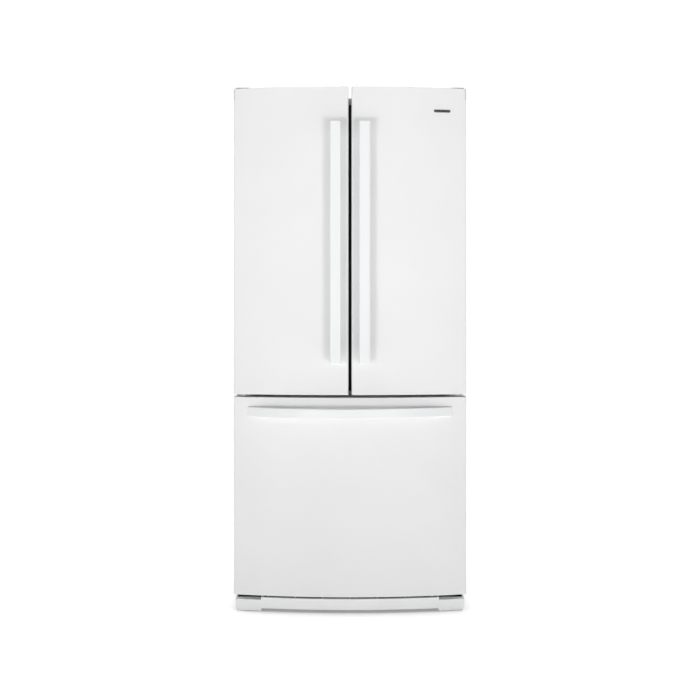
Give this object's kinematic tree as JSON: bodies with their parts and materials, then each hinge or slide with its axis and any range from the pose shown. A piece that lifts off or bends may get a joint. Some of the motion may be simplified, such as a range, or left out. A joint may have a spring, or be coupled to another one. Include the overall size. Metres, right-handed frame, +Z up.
{
  "type": "french door refrigerator",
  "caption": "Upright refrigerator with two bowed hinged doors over a full-width freezer drawer, with shelves, bins, crispers and working hinges and slides.",
  "frame": {"origin": "on the floor under the centre of the bounding box", "axes": "+Z up, +X to the viewer's right when facing the doors, the doors face -Y"},
  "size_m": [0.756, 0.845, 1.712],
  "materials": {
    "door_white": "satin white enamel with a faint texture",
    "cabinet_white": "fine textured white enamel",
    "handle_white": "satin white",
    "cap_grey": "moulded light grey",
    "seal_grey": "soft dark grey vinyl",
    "liner_white": "vacuum formed white",
    "foam_cream": "rigid foam, fine cells",
    "shelf_white": "white powder coat",
    "clear_glass": "clear tempered glass, green edge",
    "clear_plastic": "clear moulded plastic",
    "lamp_lens": "frosted lens",
    "zinc_steel": "zinc plated",
    "screw_steel": "bright plated",
    "grille_white": "moulded white",
    "basket_white": "moulded white",
    "black_enamel": "black enamel",
    "copper_tube": "drawn copper tube",
    "badge_grey": "dark satin metal",
    "black_plastic": "moulded black",
    "roller_grey": "moulded nylon",
    "button_grey": "moulded button"
  },
  "bodies": {
    "cabinet": {"cabinet_wrapper": "cabinet_white", "rear_panels": "zinc_steel", "insulation_foam": "foam_cream", "fridge_liner": "liner_white", "freezer_liner": "liner_white", "center_rail": "cabinet_white", "door_hinges": "cabinet_white", "hinge_covers": "grille_white", "cabinet_screws": "screw_steel", "mullion_guide": "grille_white", "shelf_ladders": "shelf_white", "shelf_frames": "shelf_white", "shelf_glass": "clear_glass", "crisper_cover": "clear_plastic", "control_housing": "basket_white", "light_lens": "lamp_lens", "air_duct_cover": "basket_white", "evaporator_cover": "basket_white", "slide_outer_rails": "zinc_steel", "base_grille": "grille_white", "base_frame": "black_enamel", "compressor_and_fan_motor": "black_enamel", "condenser_coil": "copper_tube", "power_inlet": "black_plastic"},
    "left_door": {"left_door_skin": "door_white", "left_door_caps": "cap_grey", "left_door_liner": "liner_white", "left_door_foam": "foam_cream", "left_door_gasket": "seal_grey", "left_door_handle": "handle_white", "left_door_bins": "clear_plastic"},
    "right_door": {"right_door_skin": "door_white", "right_door_caps": "cap_grey", "right_door_liner": "liner_white", "right_door_foam": "foam_cream", "right_door_gasket": "seal_grey", "right_door_handle": "handle_white", "right_door_bins": "clear_plastic", "badge": "badge_grey"},
    "flipper": {"flipper_mullion": "seal_grey"},
    "freezer_drawer": {"drawer_skin": "door_white", "drawer_liner": "liner_white", "drawer_foam": "foam_cream", "drawer_gasket": "seal_grey", "drawer_handle": "handle_white", "drawer_rails": "zinc_steel", "freezer_basket": "basket_white"},
    "slide_middle": {"slide_middle": "zinc_steel"},
    "upper_basket": {"upper_basket": "basket_white"},
    "crisper_left": {"crisper_left": "clear_plastic"},
    "crisper_right": {"crisper_right": "clear_plastic"},
    "humidity_slider_left": {"humidity_slider_left": "button_grey"},
    "humidity_slider_right": {"humidity_slider_right": "button_grey"},
    "button_colder": {"button_colder": "button_grey"},
    "button_warmer": {"button_warmer": "button_grey"},
    "condenser_fan": {"condenser_fan": "black_plastic"},
    "front_rollers": {"front_rollers": "roller_grey"},
    "rear_rollers": {"rear_rollers": "roller_grey"},
    "leg_left": {"leg_left": "black_plastic"},
    "leg_right": {"leg_right": "black_plastic"}
  },
  "joints": [
    {"name": "left_door_hinge", "type": "hinge", "parent": "cabinet", "child": "left_door", "pos_m": [-0.35, -0.2965, 1.2], "axis": [0, 0, -1], "range_deg": [0, 120]},
    {"name": "right_door_hinge", "type": "hinge", "parent": "cabinet", "child": "right_door", "pos_m": [0.35, -0.2965, 1.2], "axis": [0, 0, 1], "range_deg": [0, 120]},
    {"name": "flipper_fold", "type": "hinge", "parent": "left_door", "child": "flipper", "pos_m": [-0.018, -0.2405, 1.188], "axis": [0, 0, -1], "range_deg": [0, 90]},
    {"name": "drawer_slide", "type": "slide", "parent": "cabinet", "child": "freezer_drawer", "axis": [0, -1, 0], "range_m": [0, 0.4]},
    {"name": "middle_slide", "type": "slide", "parent": "cabinet", "child": "slide_middle", "axis": [0, -1, 0], "range_m": [0, 0.2]},
    {"name": "upper_basket_slide", "type": "slide", "parent": "cabinet", "child": "upper_basket", "axis": [0, -1, 0], "range_m": [0, 0.22]},
    {"name": "crisper_left_slide", "type": "slide", "parent": "cabinet", "child": "crisper_left", "axis": [0, -1, 0], "range_m": [0, 0.06]},
    {"name": "crisper_right_slide", "type": "slide", "parent": "cabinet", "child": "crisper_right", "axis": [0, -1, 0], "range_m": [0, 0.06]},
    {"name": "humidity_left_slide", "type": "slide", "parent": "cabinet", "child": "humidity_slider_left", "axis": [-1, 0, 0], "range_m": [0, 0.04]},
    {"name": "humidity_right_slide", "type": "slide", "parent": "cabinet", "child": "humidity_slider_right", "axis": [1, 0, 0], "range_m": [0, 0.04]},
    {"name": "colder_press", "type": "slide", "parent": "cabinet", "child": "button_colder", "axis": [0, 1, 0], "range_m": [0, 0.0012], "stiffness_N_per_m": 400},
    {"name": "warmer_press", "type": "slide", "parent": "cabinet", "child": "button_warmer", "axis": [0, 1, 0], "range_m": [0, 0.0012], "stiffness_N_per_m": 400},
    {"name": "condenser_fan_spin", "type": "hinge", "parent": "cabinet", "child": "condenser_fan", "pos_m": [0.035, 0.312, 0.165], "axis": [1, 0, 0], "continuous": true},
    {"name": "front_roller_spin", "type": "hinge", "parent": "cabinet", "child": "front_rollers", "pos_m": [0.3, -0.18, 0.0205], "axis": [1, 0, 0], "continuous": true},
    {"name": "rear_roller_spin", "type": "hinge", "parent": "cabinet", "child": "rear_rollers", "pos_m": [0.31, 0.375, 0.02], "axis": [1, 0, 0], "continuous": true},
    {"name": "leg_left_screw", "type": "slide", "parent": "cabinet", "child": "leg_left", "axis": [0, 0, -1], "range_m": [0, 0.012]},
    {"name": "leg_right_screw", "type": "slide", "parent": "cabinet", "child": "leg_right", "axis": [0, 0, -1], "range_m": [0, 0.012]}
  ],
  "couplings": [
    {"joint": "middle_slide", "follows": "drawer_slide", "ratio": 0.5},
    {"joint": "upper_basket_slide", "follows": "drawer_slide", "ratio": 0.55}
  ]
}
